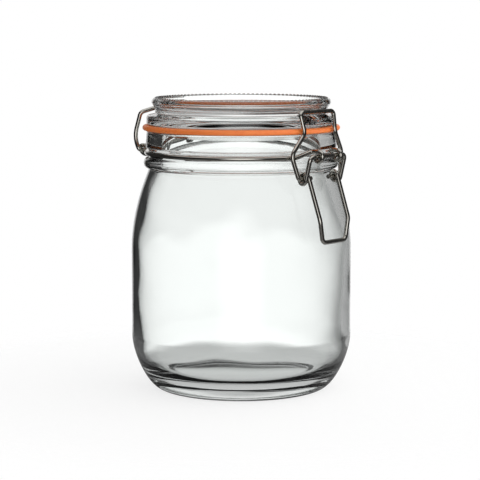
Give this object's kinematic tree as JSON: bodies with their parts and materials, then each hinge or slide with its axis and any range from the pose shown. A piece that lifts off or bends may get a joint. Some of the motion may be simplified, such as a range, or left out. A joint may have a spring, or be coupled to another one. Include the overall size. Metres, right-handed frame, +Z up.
{
  "type": "glass clip-top preserving jar",
  "caption": "Clear glass preserving jar with a hinged glass lid, an orange rubber seal and a toggle closure of bent steel wire.",
  "frame": {"origin": "centre of the foot ring, on the surface that the jar stands on", "axes": "+Z up along the jar's axis; the latch faces -Y and the hinge +Y; X is the line of the pivots"},
  "size_m": [0.1062, 0.1128, 0.1405],
  "materials": {
    "glass": "clear pressed soda-lime glass",
    "rubber": "smooth natural rubber, slightly glossy",
    "wire": "drawn round steel wire, bright"
  },
  "bodies": {
    "jar": {"jar": "glass", "collar": "wire"},
    "lid": {"lid": "glass", "seal": "rubber", "hinge_wire": "wire"},
    "lever": {"lever": "wire"},
    "bail": {"bail": "wire"}
  },
  "joints": [
    {"name": "lid_swing", "type": "hinge", "parent": "jar", "child": "lid", "pos_m": [0, 0.0518, 0.1133], "axis": [-1, 0, 0], "range_deg": [0, 17.2]},
    {"name": "lever_swing", "type": "hinge", "parent": "jar", "child": "lever", "pos_m": [0, -0.0525, 0.1146], "axis": [-1, 0, 0], "range_deg": [0, 48]},
    {"name": "bail_swing", "type": "hinge", "parent": "lever", "child": "bail", "pos_m": [0, -0.0476, 0.1042], "axis": [1, 0, 0], "range_deg": [0, 144]}
  ],
  "couplings": [
    {"joint": "lever_swing", "follows": "lid_swing", "ratio": 2.75},
    {"joint": "bail_swing", "follows": "lid_swing", "ratio": 8.3}
  ]
}
